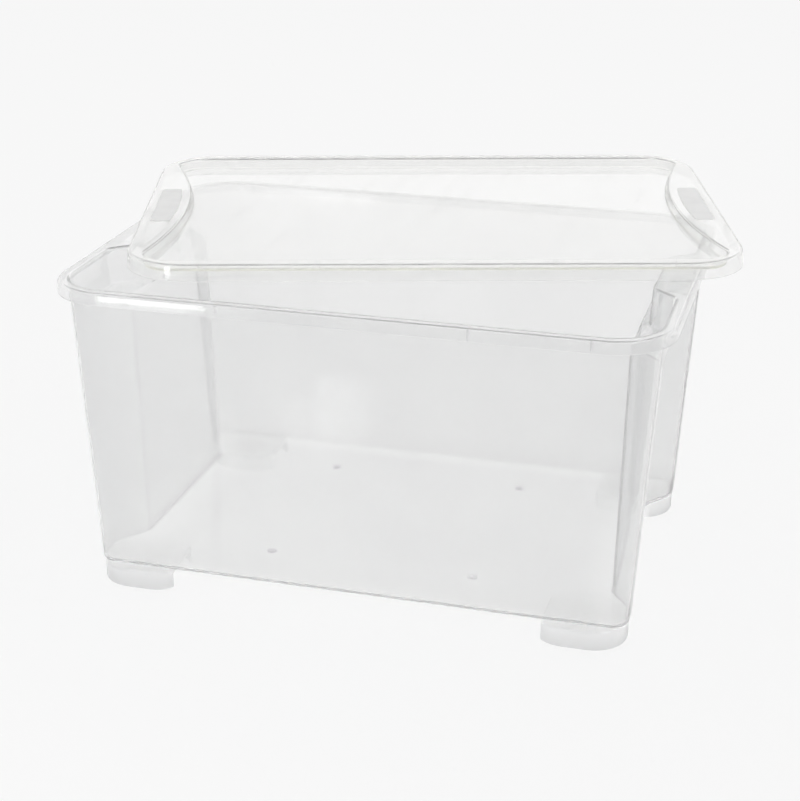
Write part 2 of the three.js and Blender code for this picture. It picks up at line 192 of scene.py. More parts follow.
def carve(obj, cutterShape):
    # takes a shape out of a piece and keeps only the result
    cutter = putMesh("cutter", cutterShape)
    cut = obj.modifiers.new("cut", "BOOLEAN")
    cut.operation, cut.solver, cut.object = "DIFFERENCE", "EXACT", cutter
    bpy.context.view_layer.update()
    before = obj.data
    obj.data = bpy.data.meshes.new_from_object(obj.evaluated_get(bpy.context.evaluated_depsgraph_get()))
    obj.modifiers.clear()
    bpy.data.objects.remove(cutter)
    bpy.data.meshes.remove(before)
    obj.data.set_sharp_from_angle(angle=sharpAngle)


def readPoints(obj):
    # a mesh's points in mm
    flat = np.empty(len(obj.data.vertices) * 3)
    obj.data.vertices.foreach_get("co", flat)
    return flat.reshape(-1, 3) / mm


def setPaintedShades(obj, shades):
    # one value per point for each named attribute of painted shade and painted light, which the material
    # reads
    for name, values in shades.items():
        attribute = obj.data.attributes.new(name, "FLOAT", "POINT")
        attribute.data.foreach_set("value", np.asarray(values, float))


# nodes that the materials share

def socket(group, name, way, kind="NodeSocketFloat"):
    group.interface.new_socket(name=name, in_out=way, socket_type=kind)


def noiseNode(tree, vector, detail=2.0):
    node = tree.nodes.new("ShaderNodeTexNoise")
    node.inputs["Detail"].default_value = detail
    tree.links.new(vector, node.inputs["Vector"])
    return node


def mappingNode(tree, vector, scale, turn=(0.0, 0.0, 0.0)):
    node = tree.nodes.new("ShaderNodeMapping")
    node.inputs["Scale"].default_value = scale
    node.inputs["Rotation"].default_value = turn
    tree.links.new(vector, node.inputs["Vector"])
    return node.outputs["Vector"]


def mapTo(tree, source, low, high, start=0.3, end=0.7):
    # a value between start and end spread between low and high
    m = tree.nodes.new("ShaderNodeMapRange")
    m.inputs["From Min"].default_value, m.inputs["From Max"].default_value = start, end
    m.inputs["To Min"].default_value, m.inputs["To Max"].default_value = low, high
    tree.links.new(source, m.inputs["Value"])
    return m.outputs["Result"]


def mathNode(tree, operation, a, b):
    # a is a socket, b a socket or a number
    node = tree.nodes.new("ShaderNodeMath")
    node.operation = operation
    tree.links.new(a, node.inputs[0])
    if isinstance(b, float):
        node.inputs[1].default_value = b
    else:
        tree.links.new(b, node.inputs[1])
    return node.outputs["Value"]


def mixColor(tree, factor, a, b):
    # a and b are colours or sockets
    m = tree.nodes.new("ShaderNodeMix")
    m.data_type = "RGBA"
    sides = [s for s in m.inputs if s.type == "RGBA"]
    for side, value in zip(sides, (a, b)):
        if isinstance(value, tuple):
            side.default_value = (*value, 1)
        else:
            tree.links.new(value, side)
    tree.links.new(factor, m.inputs["Factor"])
    return next(s for s in m.outputs if s.type == "RGBA")


def mixShaders(tree, factor, a, b, surface):
    # from shader a to shader b by the factor, into the output's surface
    mix = tree.nodes.new("ShaderNodeMixShader")
    tree.links.new(factor, mix.inputs["Fac"])
    tree.links.new(a, mix.inputs[1])
    tree.links.new(b, mix.inputs[2])
    tree.links.new(mix.outputs["Shader"], surface)


def bumpFrom(tree, height, strength, distance, normal=None):
    b = tree.nodes.new("ShaderNodeBump")
    b.inputs["Strength"].default_value = strength
    b.inputs["Distance"].default_value = distance
    tree.links.new(height, b.inputs["Height"])
    if normal:
        tree.links.new(normal, b.inputs["Normal"])
    return b.outputs["Normal"]


def newMaterial(name):
    m = bpy.data.materials.new(name)
    m.use_nodes = True
    tree = m.node_tree
    tree.nodes.clear()
    return m, tree, tree.nodes.new("ShaderNodeOutputMaterial"), tree.nodes.new("ShaderNodeBsdfPrincipled")


def objectVector(tree):
    return tree.nodes.new("ShaderNodeTexCoord").outputs["Object"]


# effects that the materials share

cloudLook = {"detail": 4.0, "flowDetail": 3.0, "flowStretch": (1.0, 1.0, 0.06)}
scuffLook = {
    "turn": (0.5, 0.3, 0.9), "stretch": (1.0, 0.08, 1.0), "detail": 6.0, "roughness": 0.62,
    "faintest": 0.52, "strongest": 0.74,  # noise below and above these is no rub and a full rub
    "speckScale": 900.0,
}


def makeCloudGroup(v):
    # soft cloudiness of moulded plastic, with faint flow lines that run down the wall
    g = bpy.data.node_groups.new("mouldCloud", "ShaderNodeTree")
    socket(g, "Vector", "INPUT", "NodeSocketVector")
    for name, way in (("Cloud Scale", "INPUT"), ("Flow Scale", "INPUT"),
                      ("Cloud", "OUTPUT"), ("Flow", "OUTPUT")):
        socket(g, name, way)
    given, result = g.nodes.new("NodeGroupInput"), g.nodes.new("NodeGroupOutput")
    vector = given.outputs["Vector"]
    cloud = noiseNode(g, vector, v["detail"])
    flow = noiseNode(g, mappingNode(g, vector, v["flowStretch"]), v["flowDetail"])
    for name, noise in (("Cloud", cloud), ("Flow", flow)):
        g.links.new(given.outputs[name + " Scale"], noise.inputs["Scale"])
        g.links.new(noise.outputs["Fac"], result.inputs[name])
    return g


def makeScuffGroup(v):
    # hairline rubs and fine specks from handling
    g = bpy.data.node_groups.new("handlingScuffs", "ShaderNodeTree")
    socket(g, "Vector", "INPUT", "NodeSocketVector")
    for name, way in (("Scale", "INPUT"), ("Rub", "OUTPUT"), ("Speck", "OUTPUT")):
        socket(g, name, way)
    given, result = g.nodes.new("NodeGroupInput"), g.nodes.new("NodeGroupOutput")
    vector = given.outputs["Vector"]
    rub = noiseNode(g, mappingNode(g, vector, v["stretch"], v["turn"]), v["detail"])
    rub.inputs["Roughness"].default_value = v["roughness"]
    g.links.new(given.outputs["Scale"], rub.inputs["Scale"])
    g.links.new(mapTo(g, rub.outputs["Fac"], 0.0, 1.0, v["faintest"], v["strongest"]), result.inputs["Rub"])
    speck = noiseNode(g, vector)
    speck.inputs["Scale"].default_value = v["speckScale"]
    g.links.new(speck.outputs["Fac"], result.inputs["Speck"])
    return g


mouldCloud = makeCloudGroup(cloudLook)
handlingScuffs = makeScuffGroup(scuffLook)


def groupNode(tree, group, vector, **values):
    # a group with its own values, named with underscores for spaces
    node = tree.nodes.new("ShaderNodeGroup")
    node.node_tree = group
    tree.links.new(vector, node.inputs["Vector"])
    for name, value in values.items():
        node.inputs[name.replace("_", " ")].default_value = value
    return node


# materials

white = (1.0, 1.0, 1.0)
clearLook = {
    "ior": 1.49, "smooth": 0.05, "flowScale": 55.0, "rubScale": 70.0,
    "flowBump": (0.06, 0.0003), "speckBump": (0.05, 0.00005),  # strength, and height in metres
    "frostStart": 0.02, "frostFull": 0.2,  # the painted shade where frost starts and is full
}
tubFinish = {
    "clear": (0.935, 0.936, 0.936),
    "cloudy": (0.907, 0.908, 0.909),
    "shades": {
        "paintedShadeAndFrost": (0.875, 0.877, 0.879),  # painted shade in the corners and over the left end
        # painted light: the base drawn to white on the bottom edge, and in the feet's plate
        "paintedLight": white,
        "paintedRootShade": (0.84, 0.84, 0.84),  # painted shade where the walls meet the floor
    },
    "body": (0.60, 0.66, 0.62),
    "density": 0.4,
    "through": 0.86,  # share that passes straight through
    "rubbed": 0.14,
    "lamp": (0.985, 0.985, 0.985),
    "cloudScale": 7.0,
}
lidFinish = {
    "clear": (0.972, 0.972, 0.971),
    "cloudy": (0.952, 0.952, 0.950),
    "shades": {},
    "body": (0.98, 1.0, 0.72),
    "density": 3.0,
    "through": 0.88,
    "rubbed": 0.13,
    "lamp": (0.99, 0.99, 0.99),
    "cloudScale": 6.0,
}
footFinish = {
    "clear": (0.988, 0.989, 0.989),
    "cloudy": (0.978, 0.979, 0.980),
    # painted shade low on the feet, and painted light in the plate under the tub
    "shades": {"paintedShadeAndFrost": (0.75, 0.752, 0.754), "paintedLight": white},
    "frost": 0.50,  # so that what is inside the walls shows only as a soft shade
    "body": (0.60, 0.66, 0.62),
    "density": 0.2,
    "through": 0.97,
    "rubbed": 0.12,
    "lamp": (0.985, 0.985, 0.985),
    "cloudScale": 14.0,
}


def clearPlastic(name, f):
    # clear moulded plastic: darkened and lightened by painted shade and painted light from its own
    # attributes, and open to the lamps' light
    v = clearLook
    m, tree, out, p = newMaterial(name)
    vector = objectVector(tree)
    cloud = groupNode(tree, mouldCloud, vector, Cloud_Scale=f["cloudScale"], Flow_Scale=v["flowScale"])
    scuff = groupNode(tree, handlingScuffs, vector, Scale=v["rubScale"])
    base = mixColor(tree, mapTo(tree, cloud.outputs["Cloud"], 0.0, 1.0), f["clear"], f["cloudy"])
    roughness = mapTo(tree, scuff.outputs["Rub"], v["smooth"], f["rubbed"], 0.0, 1.0)
    # painted shade and painted light: each attribute draws the base colour towards its own colour
    for attribute, colour in f["shades"].items():
        mask = tree.nodes.new("ShaderNodeAttribute")
        mask.attribute_name = attribute
        base = mixColor(tree, mask.outputs["Fac"], base, colour)
        if attribute == "paintedShadeAndFrost" and "frost" in f:
            frost = mapTo(tree, mask.outputs["Fac"], 0.0, f["frost"], v["frostStart"], v["frostFull"])
            roughness = mathNode(tree, "ADD", frost, roughness)
    tree.links.new(base, p.inputs["Base Color"])
    tree.links.new(roughness, p.inputs["Roughness"])
    wave = bumpFrom(tree, cloud.outputs["Flow"], *v["flowBump"])
    tree.links.new(bumpFrom(tree, scuff.outputs["Speck"], *v["speckBump"], wave), p.inputs["Normal"])
    p.inputs["IOR"].default_value = v["ior"]
    p.inputs["Transmission Weight"].default_value = f["through"]
    lamp = tree.nodes.new("ShaderNodeBsdfTransparent")
    lamp.inputs["Color"].default_value = (*f["lamp"], 1)
    path = tree.nodes.new("ShaderNodeLightPath")
    mixShaders(tree, path.outputs["Is Shadow Ray"], p.outputs["BSDF"], lamp.outputs["BSDF"],
               out.inputs["Surface"])
    body = tree.nodes.new("ShaderNodeVolumeAbsorption")
    body.inputs["Color"].default_value = (*f["body"], 1)
    body.inputs["Density"].default_value = f["density"]
    tree.links.new(body.outputs["Volume"], out.inputs["Volume"])
    return m


solidLook = {"cloudScale": 60.0, "flowScale": 200.0, "rubScale": 180.0, "grainStrength": 0.25}
padFinish = {
    "light": (0.77, 0.77, 0.765), "dark": (0.72, 0.72, 0.715), "roughness": (0.42, 0.56),
    "grainScale": 1400.0, "grainDepth": 0.00008, "through": 0.0,
}
wheelFinish = {
    "light": (0.995, 0.995, 0.992), "dark": (0.985, 0.985, 0.982), "roughness": (0.16, 0.30),
    "grainScale": 900.0, "grainDepth": 0.00004, "through": 0.95,
}
pinFinish = {
    "light": (0.86, 0.86, 0.85), "dark": (0.74, 0.74, 0.73), "roughness": (0.22, 0.40),
    "lineStretch": (1.0, 0.03, 1.0), "lineScale": 3000.0, "lineBump": (0.2, 0.00002), "rubScale": 300.0,
}


def solidPlastic(name, f):
    # plastic with a fine grain
    v = solidLook
    m, tree, out, p = newMaterial(name)
    p.inputs["Transmission Weight"].default_value = f["through"]
    vector = objectVector(tree)
    cloud = groupNode(tree, mouldCloud, vector, Cloud_Scale=v["cloudScale"], Flow_Scale=v["flowScale"])
    scuff = groupNode(tree, handlingScuffs, vector, Scale=v["rubScale"])
    shade = mapTo(tree, cloud.outputs["Cloud"], 0.0, 1.0)
    tree.links.new(mixColor(tree, shade, f["light"], f["dark"]), p.inputs["Base Color"])
    tree.links.new(mapTo(tree, scuff.outputs["Rub"], *f["roughness"], 0.0, 1.0), p.inputs["Roughness"])
    grain = tree.nodes.new("ShaderNodeTexVoronoi")
    grain.inputs["Scale"].default_value = f["grainScale"]
    tree.links.new(vector, grain.inputs["Vector"])
    normal = bumpFrom(tree, grain.outputs["Distance"], v["grainStrength"], f["grainDepth"])
    tree.links.new(normal, p.inputs["Normal"])
    tree.links.new(p.outputs["BSDF"], out.inputs["Surface"])
    return m


def drawnSteel(name, f):
    # bright wire with lines along its length
    m, tree, out, p = newMaterial(name)
    vector = objectVector(tree)
    lines = noiseNode(tree, mappingNode(tree, vector, f["lineStretch"]))
    lines.inputs["Scale"].default_value = f["lineScale"]
    scuff = groupNode(tree, handlingScuffs, vector, Scale=f["rubScale"])
    tree.links.new(mixColor(tree, lines.outputs["Fac"], f["light"], f["dark"]), p.inputs["Base Color"])
    tree.links.new(mapTo(tree, scuff.outputs["Rub"], *f["roughness"], 0.0, 1.0), p.inputs["Roughness"])
    tree.links.new(bumpFrom(tree, lines.outputs["Fac"], *f["lineBump"]), p.inputs["Normal"])
    p.inputs["Metallic"].default_value = 1.0
    tree.links.new(p.outputs["BSDF"], out.inputs["Surface"])
    return m


tubPlastic = clearPlastic("tubPlastic", tubFinish)
lidPlastic = clearPlastic("lidPlastic", lidFinish)
footPlastic = clearPlastic("footPlastic", footFinish)
padPlastic = solidPlastic("padPlastic", padFinish)
wheelPlastic = solidPlastic("wheelPlastic", wheelFinish)
pinSteel = drawnSteel("pinSteel", pinFinish)
print("materials made")


# tub

tub = {
    "length": 590.0, "width": 413.0, "height": 294.5, "corner": 59.0,  # outside of the rim
    "overhang": 10.8, "drop": 12.0, "rimEdge": 3.5, "skirtLean": 1.1,
    "wall": 2.2, "floor": 2.5,
    "endLean": 18.0, "sideLean": 23.0, "baseCorner": 18.0, "baseFillet": 2.0,
    "innerFillet": 2.0, "underRim": 1.5, "skirtRoot": 1.6, "skirtFoot": 0.8, "lip": 2.0,
    "aboveFillet": 1.0,  # a ring this far over the base fillet holds the clear edge's end
    "flatShares": (0.3, 0.6, 0.85, 0.96, 0.99),  # rings of the floor, towards its edge
    "straight": 0.96, "sideStops": 15, "endStops": 81,  # stops along the straight runs
    "cornerSteps": 22, "filletSteps": 6, "wallSteps": 12, "gripSteps": 4,
}
hold = {  # hand hold in each end: a wide recess, and a narrower grip above its ledge
    "depth": 23.0, "lean": 6.3, "flat": 97.0, "run": 43.0,
    "ledge": 258.0, "fall": 2.0, "round": 3.0, "roundShare": 0.1, "roundSteps": 4,
    "gripDepth": 25.0, "gripFlat": 42.0, "gripRun": 32.0,
    "clearOf": 60.0,  # nothing nearer the middle than this is drawn in
}
tubPaintedShading = {  # painted shade and painted light, in mm, and shares of the full shade
    "wallStart": 4.0, "wallGrow": 30.0, "wallStop": 6.0, "wallFade": 12.0,
    "middle": 0.5, "leftReach": 400.0, "least": 0.2, "rear": 0.4,
    "endShare": 0.6, "endStart": -215.0, "endGrow": 25.0,
    "edgeX": 225.0, "edgeY": 150.0, "edgeHigh": 0.5, "under": 0.5,
    "rootLow": 0.2, "rootHigh": 2.6, "endWidth": 165.0,
}


def rimSection(inset, z):
    # the rim's outline drawn in by the inset, with no hand hold in it
    t = tub
    inset, z = spread(inset, z)
    return np.stack([t["length"] / 2 - inset, t["width"] / 2 - inset, t["corner"] - inset, z,
                     0 * z, 0 * z, 0 * z + 1])


def wallSection(inset, z, grip=0.0):
    # walls lean in and corners tighten evenly from rim to floor; grip goes from the recess to the grip
    t, k = tub, hold
    inset, z, grip = spread(inset, z, grip)
    drop = 1.0 - z / t["height"]
    rim = t["corner"] - t["overhang"]
    return np.stack([t["length"] / 2 - t["overhang"] - t["endLean"] * drop - inset,
                     t["width"] / 2 - t["overhang"] - t["sideLean"] * drop - inset,
                     rim + (t["baseCorner"] - rim) * drop - inset, z,
                     (1 - grip) * (k["depth"] + (t["endLean"] - k["lean"]) * (1 - drop)),
                     grip * k["gripDepth"], 0 * z + 1])


def ledgeSections(inset, top):
    # a rounded nose, a gentle slope and a rounded root, from the recess up to the grip
    k = hold
    s, c = quarter(k["roundSteps"])
    grip = np.concatenate([k["roundShare"] * (1 - c), 1 - k["roundShare"] * (1 - s)])
    z = np.concatenate([top - k["fall"] - k["round"] * (1 - s), top + k["round"] * (1 - c)])
    return wallSection(inset, z, grip)


def between(low, high, steps):
    # even heights between two others
    return np.linspace(low, high, steps)[1:-1]


def setIn(y, flat, run):
    # 1 along the flat middle, falling to 0 in an S over the run
    t = np.clip((np.abs(y) - flat) / run, 0.0, 1.0)
    return 1.0 - t * t * (3.0 - 2.0 * t)


def tubRings():
    # from the middle of the underside up the outside, over the rim and down the inside to the floor
    t, k = tub, hold
    s, c = quarter(t["filletSteps"])
    h, w, e, r = t["height"], t["wall"], t["skirtFoot"], t["rimEdge"]
    f, g, u, root, i = t["baseFillet"], t["lip"], t["underRim"], t["skirtRoot"], t["innerFillet"]
    lean, foot = t["skirtLean"], h - t["drop"]
    outLow, outHigh = k["ledge"] - w - k["fall"] - k["round"], k["ledge"] - w + k["round"]
    shares = np.array(t["flatShares"])
    sections = [
        drawnIn(wallSection([f], [0.0]), shares),
        wallSection(f * (1 - s), f * (1 - c)),
        wallSection(0.0, [f + t["aboveFillet"]]),
        wallSection(0.0, between(f, outLow, t["wallSteps"])),
        ledgeSections(0.0, k["ledge"] - w),
        wallSection(0.0, between(outHigh, h - w - u, t["gripSteps"]), 1.0),
        wallSection(-u * (1 - c), h - w - u * (1 - s), 1.0),
        rimSection(w + lean + root * (1 - s), h - w - root * (1 - c)),
        rimSection(w - e * (1 - c), foot + e * (1 - s)),
        rimSection(e * (1 - s), foot + e * (1 - c)),
        rimSection(lean + r * (1 - c), h - r * (1 - s)),
        wallSection(w - g * (1 - s), h - g * (1 - c), 1.0),
        wallSection(w, between(h - g, outHigh + w, t["gripSteps"]), 1.0),
        ledgeSections(w, k["ledge"])[:, ::-1],
        wallSection(w, between(outLow + w, t["floor"] + i, t["wallSteps"])),
        wallSection(w + i * (1 - s[::-1]), t["floor"] + i * (1 - c[::-1])),
        drawnIn(wallSection([w + i], [t["floor"]]), shares[::-1]),
    ]
    halfX, halfY, radius, z, recess, grip, scale = np.concatenate(sections, 1)
    stops = [np.linspace(-t["straight"], t["straight"], t[name]) for name in ("sideStops", "endStops")]
    path = roundPath(t["cornerSteps"], *stops)
    rings = ringStack(path, halfX, halfY, radius, z - t["floor"])
    x, y = rings[..., 0], rings[..., 1] / scale[:, None]
    inward = (recess[:, None] * setIn(y, k["flat"], k["run"])
              + grip[:, None] * setIn(y, k["gripFlat"], k["gripRun"]))
    rings[..., 0] = x - np.sign(x) * inward * (np.abs(x) > k["clearOf"])
    return rings, path[2]


def tubPaintedShades(rings, angle):
    # per point, with the two poles last: painted shade at the corners and the left end, painted light on the
    # bottom edge, and a painted shadow line round the floor
    v = tubPaintedShading
    x, y, level = rings[..., 0], rings[..., 1], rings[..., 2]
    fromRim = tub["height"] - tub["floor"] - level
    upright = (np.clip((level + tub["floor"] - v["wallStart"]) / v["wallGrow"], 0.0, 1.0)
               * np.clip((fromRim - v["wallStop"]) / v["wallFade"], 0.0, 1.0))
    # painted shade in the corners by a sine squared over the quarter turn, less towards the right and the
    # rear, and over the left end
    left = np.clip(v["middle"] - x / v["leftReach"], v["least"], 1.0) * np.where(y < 0.0, 1.0, v["rear"])
    leftEnd = v["endShare"] * np.clip((v["endStart"] - x) / v["endGrow"], 0.0, 1.0)
    corner = upright * np.maximum(left * np.sin(2 * angle) ** 2, leftEnd)
    # painted light, full near the bottom edge, less in the middle of the underside
    nearEdge = (np.abs(x) > v["edgeX"]) | (np.abs(y) > v["edgeY"])
    edge = np.where(level < 0.0, v["under"] + (1 - v["under"]) * nearEdge, (level < v["edgeHigh"]) & nearEdge)
    # painted shade on the inner fillet, and outside it on the ends
    inside = np.arange(len(rings))[:, None] > len(rings) // 2
    root = (level > v["rootLow"]) & (level < v["rootHigh"]) & (inside | (np.abs(y) < v["endWidth"]))
    return {"paintedShadeAndFrost": np.append(corner, [0.0, 0.0]), "paintedLight": np.append(edge, [v["under"], 0.0]),
            "paintedRootShade": np.append(root, [0.0, 0.0])}


tubStack, tubAngle = tubRings()
tubShell = place(putMesh("tubShell", loft(tubStack)), tubPlastic, "box", "tub")
setPaintedShades(tubShell, tubPaintedShades(tubStack, tubAngle))
print("tub made")


# wheel housings, wheels and pins

foot = {
    "span": 90.0, "depth": 72.0, "corner": 34.0, "flat": 33.7, "bend": 8.0, "wall": 2.2, "top": 2.0,
    "height": 19.0, "gap": 0.3, "x": 219.7, "y": 148.6, "fillet": 2.5, "edge": 0.7, "root": 1.5, "lip": 2.0,
    "flatRing": 1.5,  # how far inside its fillet a flat's first ring lies
    "windowRound": 2.5, "windowPast": 3.0, "windowBelow": 6.0, "windowStraight": 0.8,
    "cheek": 3.0, "cheekLength": 14.0, "cheekY": 10.1, "cheekFoot": -16.5, "cheekRound": 1.5,
    "cheekGap": 0.05, "cheekStraight": 0.6, "bore": 2.3, "axleZ": -13.0,
    "arcSteps": 16, "filletSteps": 6, "plateSteps": 6, "plateStops": 3,
}
footPaintedShading = {  # painted shade and painted light, in mm, and shares of the full shade
    "outX": 264.5, "outY": 171.0, "outGrow": 2.0,  # past these a foot stands clear of the tub
    "everywhere": 0.2, "outMore": 0.25,
    "lowStart": -3.0, "lowGrow": 12.0, "lowFront": -130.0, "lowSide": 245.0,
    "plateStart": -5.5, "plateGrow": 0.5,
}


def footBend():
    # where the wide arc meets the small one beside the flat: centre of the small arc and the angle
    f = foot
    centreX, centreY = f["span"] / 2 - f["corner"], f["depth"] / 2 - f["corner"]
    bendX = f["bend"] - f["flat"]
    rise = math.sqrt((f["corner"] - f["bend"]) ** 2 - (bendX + centreX) ** 2)
    return centreX, centreY, bendX, centreY + rise, math.atan2(rise, bendX + centreX)


def footPath(steps):
    # centres and angles round a D: two wide arcs on each side and a small one beside the flat
    f = foot
    centreX, centreY, bendX, bendY, meet = footBend()
    turn = np.linspace(0.0, 1.0, steps + 1)
    arcs = [(centreX, centreY, 0.5 * np.pi * turn, f["corner"]),
            (-centreX, centreY, 0.5 * np.pi + (meet - 0.5 * np.pi) * turn, f["corner"]),
            (bendX, bendY, meet + (np.pi - meet) * turn[1:], f["bend"])]
    arcs += [(x, -y, 2 * np.pi - angle[::-1], size) for x, y, angle, size in arcs[::-1]]
    lengths = [len(angle) for _, _, angle, _ in arcs]
    centreX, centreY, radius = (np.repeat([arc[k] for arc in arcs], lengths) for k in (0, 1, 3))
    return centreX, centreY, radius, np.concatenate([angle for _, _, angle, _ in arcs])


def footRings(path, inset, z):
    # each arc keeps its centre, and its radius shrinks by the inset
    centreX, centreY, radius, angle = path
    inset, z = spread(inset, z)
    size = radius - inset[:, None]
    x = centreX + size * np.cos(angle)
    return np.stack([x, centreY + size * np.sin(angle), np.broadcast_to(z[:, None], x.shape)], -1)


def platePath(straight):
    # the path of a small plate with the same stops on all four sides
    stops = np.linspace(-straight, straight, foot["plateStops"])
    return roundPath(foot["plateSteps"], stops, stops)


def cheekShape(side):
    # a plate with rounded corners and a bore, as one loop of four rings
    f = foot
    top = -f["gap"] - f["top"] - f["cheekGap"]
    halfZ, midZ = (top - f["cheekFoot"]) / 2, (top + f["cheekFoot"]) / 2
    plate = plateOutline(platePath(f["cheekStraight"]), f["cheekLength"] / 2, halfZ, f["cheekRound"])
    angle = np.arctan2(plate[:, 1] + midZ - f["axleZ"], plate[:, 0])
    bore = np.stack([f["bore"] * np.cos(angle), f["bore"] * np.sin(angle) + f["axleZ"] - midZ], -1)
    near, far = side * f["cheekY"] - f["cheek"] / 2, side * f["cheekY"] + f["cheek"] / 2
    rings = np.stack([np.stack([q[:, 0], np.full(len(q), y), q[:, 1] + midZ], -1)
                      for q, y in ((plate, near), (plate, far), (bore, far), (bore, near))])
    return loft(rings[:, ::-1], closeEnds=False, joinLast=True)


def housingShape():
    # from the ceiling down the inner wall, round the foot and up to the rounded top
    f = foot
    path = footPath(f["arcSteps"])
    s, c = quarter(f["filletSteps"])
    top, e, w, r = -f["gap"], f["edge"], f["wall"], f["root"]
    ceiling = top - f["top"]
    return loft(np.concatenate([
        footRings(path, [w + r + f["flatRing"]], [ceiling]),
        footRings(path, w + r * (1 - s), ceiling - r * (1 - c)),
        footRings(path, w - e * (1 - c), -f["height"] + e * (1 - s)),
        footRings(path, e * (1 - s), -f["height"] + e * (1 - c)),
        footRings(path, f["fillet"] * (1 - c), top - f["fillet"] * (1 - s)),
        footRings(path, [f["fillet"] + f["flatRing"]], [top]),
    ]))


def windowShape():
    # the open side as a block with rounded upper corners, drawn out along x
    f = foot
    bendY = footBend()[3]
    top, low = -f["gap"] - f["top"] - f["lip"], -f["height"] - f["windowBelow"]
    plate = plateOutline(platePath(f["windowStraight"]), bendY, (top - low) / 2, f["windowRound"])
    ends = [np.stack([np.full(len(plate), x), plate[:, 0], plate[:, 1] + (top + low) / 2], -1)
            for x in (-f["flat"] - f["windowPast"], -f["flat"] + f["wall"] + f["windowPast"])]
    return loft(np.stack(ends))


def footPaintedShades(points):
    # frosted all over, with painted shade where it stands out and low down where it shows, and painted light
    # in the plate under the tub
    v = footPaintedShading
    x, y, z = np.abs(points[:, 0]), points[:, 1], points[:, 2]
    out = np.clip(np.maximum(x - v["outX"], np.abs(y) - v["outY"]) / v["outGrow"], 0.0, 1.0)
    shows = np.maximum(out, (y < v["lowFront"]) | (x > v["lowSide"]))
    low = np.clip((v["lowStart"] - z) / v["lowGrow"], 0.0, 1.0) * shows
    plate = np.clip((z - v["plateStart"]) / v["plateGrow"], 0.0, 1.0) * (1.0 - out)
    return {"paintedShadeAndFrost": np.maximum(v["everywhere"] + v["outMore"] * out, low), "paintedLight": plate}


wheel = {
    "radius": 9.0, "half": 8.0, "round": 1.5, "bore": 2.35, "boreEdge": 0.2,
    "hub": 1.6, "hubFoot": 2.4, "dish": 0.8, "dishEdge": 1.4, "land": 0.6,
    "groove": 0.5, "grooveAt": (2.8, 3.2, 3.8, 4.2), "steps": 64, "roundSteps": 5,
}
pin = {
    "radius": 2.0, "head": 3.5, "headFace": -11.9, "headThick": 1.4, "headRound": 0.8, "headEdge": 0.1,
    "neck": 0.15, "end": 13.1, "endRound": 0.4, "backFlat": 0.8, "endFlat": 0.5, "steps": 40, "roundSteps": 4,
}


def wheelShape():
    # hub, dished side, round shoulder and a grooved half tread, then the same mirrored, as one closed profile
    w = wheel
    s, c = quarter(w["roundSteps"])
    r, h, k, g = w["radius"], w["half"], w["round"], w["groove"]
    bore, dish = w["bore"], -h + w["dish"]
    side = [[bore, -h + w["boreEdge"]], [bore + w["boreEdge"], -h], [bore + w["hub"], -h],
            [bore + w["hubFoot"], dish], [r - k - w["dishEdge"], dish], [r - k - w["land"], -h]]
    shoulder = np.stack([r - k * (1 - s), -h + k * (1 - c)], -1)
    tread = np.stack([[r, r - g, r - g, r], -np.array(w["grooveAt"])[::-1]], -1)
    half = np.concatenate([side, shoulder, tread])
    profile = np.concatenate([half, half[::-1] * (1, -1)])
    return loft(lathe(profile, w["steps"], "Y"), closeEnds=False, joinLast=True)


def pinShape():
    # a round head with a soft edge on a plain shaft with a broken end
    p = pin
    s, c = quarter(p["roundSteps"])
    face, end, k, n = p["headFace"], p["end"], p["headRound"], p["endRound"]
    back = face - p["headThick"]
    head = np.stack([p["head"] - k * (1 - s), back + k * (1 - c)], -1)
    under = [[p["head"], face - p["headEdge"]], [p["head"] - p["headEdge"], face],
             [p["radius"] + p["neck"], face], [p["radius"], face + p["neck"]]]
    tip = np.stack([p["radius"] - n * (1 - c), end - n * (1 - s)], -1)
    profile = np.concatenate([[[p["backFlat"], back]], head, under, tip, [[p["endFlat"], end]]])
    return loft(lathe(profile, p["steps"], "Y"))


corners = {"FrontLeft": (-1, -1), "FrontRight": (1, -1), "RearLeft": (-1, 1), "RearRight": (1, 1)}
housingSolid, windowSolid = housingShape(), windowShape()
cheekSolid = joined([cheekShape(-1), cheekShape(1)])
wheelSolid, pinSolid = wheelShape(), pinShape()
for corner, (sideX, sideY) in corners.items():
    node = corner.replace("Left", "_left").replace("Right", "_right").lower()
    turn = 0.0 if sideX > 0 else math.pi
    at = np.array([sideX * foot["x"], sideY * foot["y"], -tub["floor"]])
    axle = at + (0, 0, foot["axleZ"])
    housing = putMesh("housing" + corner, moved(housingSolid, turn, at))
    carve(housing, moved(windowSolid, turn, at))
    setPaintedShades(housing, footPaintedShades(readPoints(housing)))
    cheeks = putMesh("pinCheeks" + corner, moved(cheekSolid, turn, at))
    for piece in (housing, cheeks):
        place(piece, footPlastic, "box", "wheel_housing_" + node)
    roller = putMesh("wheel" + corner, moved(wheelSolid, turn, axle))
    place(roller, wheelPlastic, "wheel_" + node, "wheel_" + node)
    axlePin = putMesh("axlePin" + corner, moved(pinSolid, turn, axle))
    place(axlePin, pinSteel, "box", "axle_pin_" + node)
print("housings, wheels and pins made")


# marks and small forms on the tub

stake = {"reach": 23.7, "radius": 4.5, "thick": 1.5, "round": 1.2, "flat": 0.6, "steps": 32, "roundSteps": 6}
gate = {
    "x": 104.5, "y": 108.0, "steps": 40,
    "profile": ((0.3, -0.95), (0.8, -0.9), (1.4, -0.55), (2.2, -0.45),
                (3.8, -0.4), (5.0, -0.04), (0.3, -0.04)),
}
rib = {
    "x": (-227.0, -118.0, 118.0, 227.0), "half": 0.6, "tall": 8.0, "round": 0.4, "gap": 0.1, "wallGap": 0.3,
    "steps": 3, "sideStops": (-0.5, 0.5), "endStops": (-0.8, 0.0, 0.8),
}


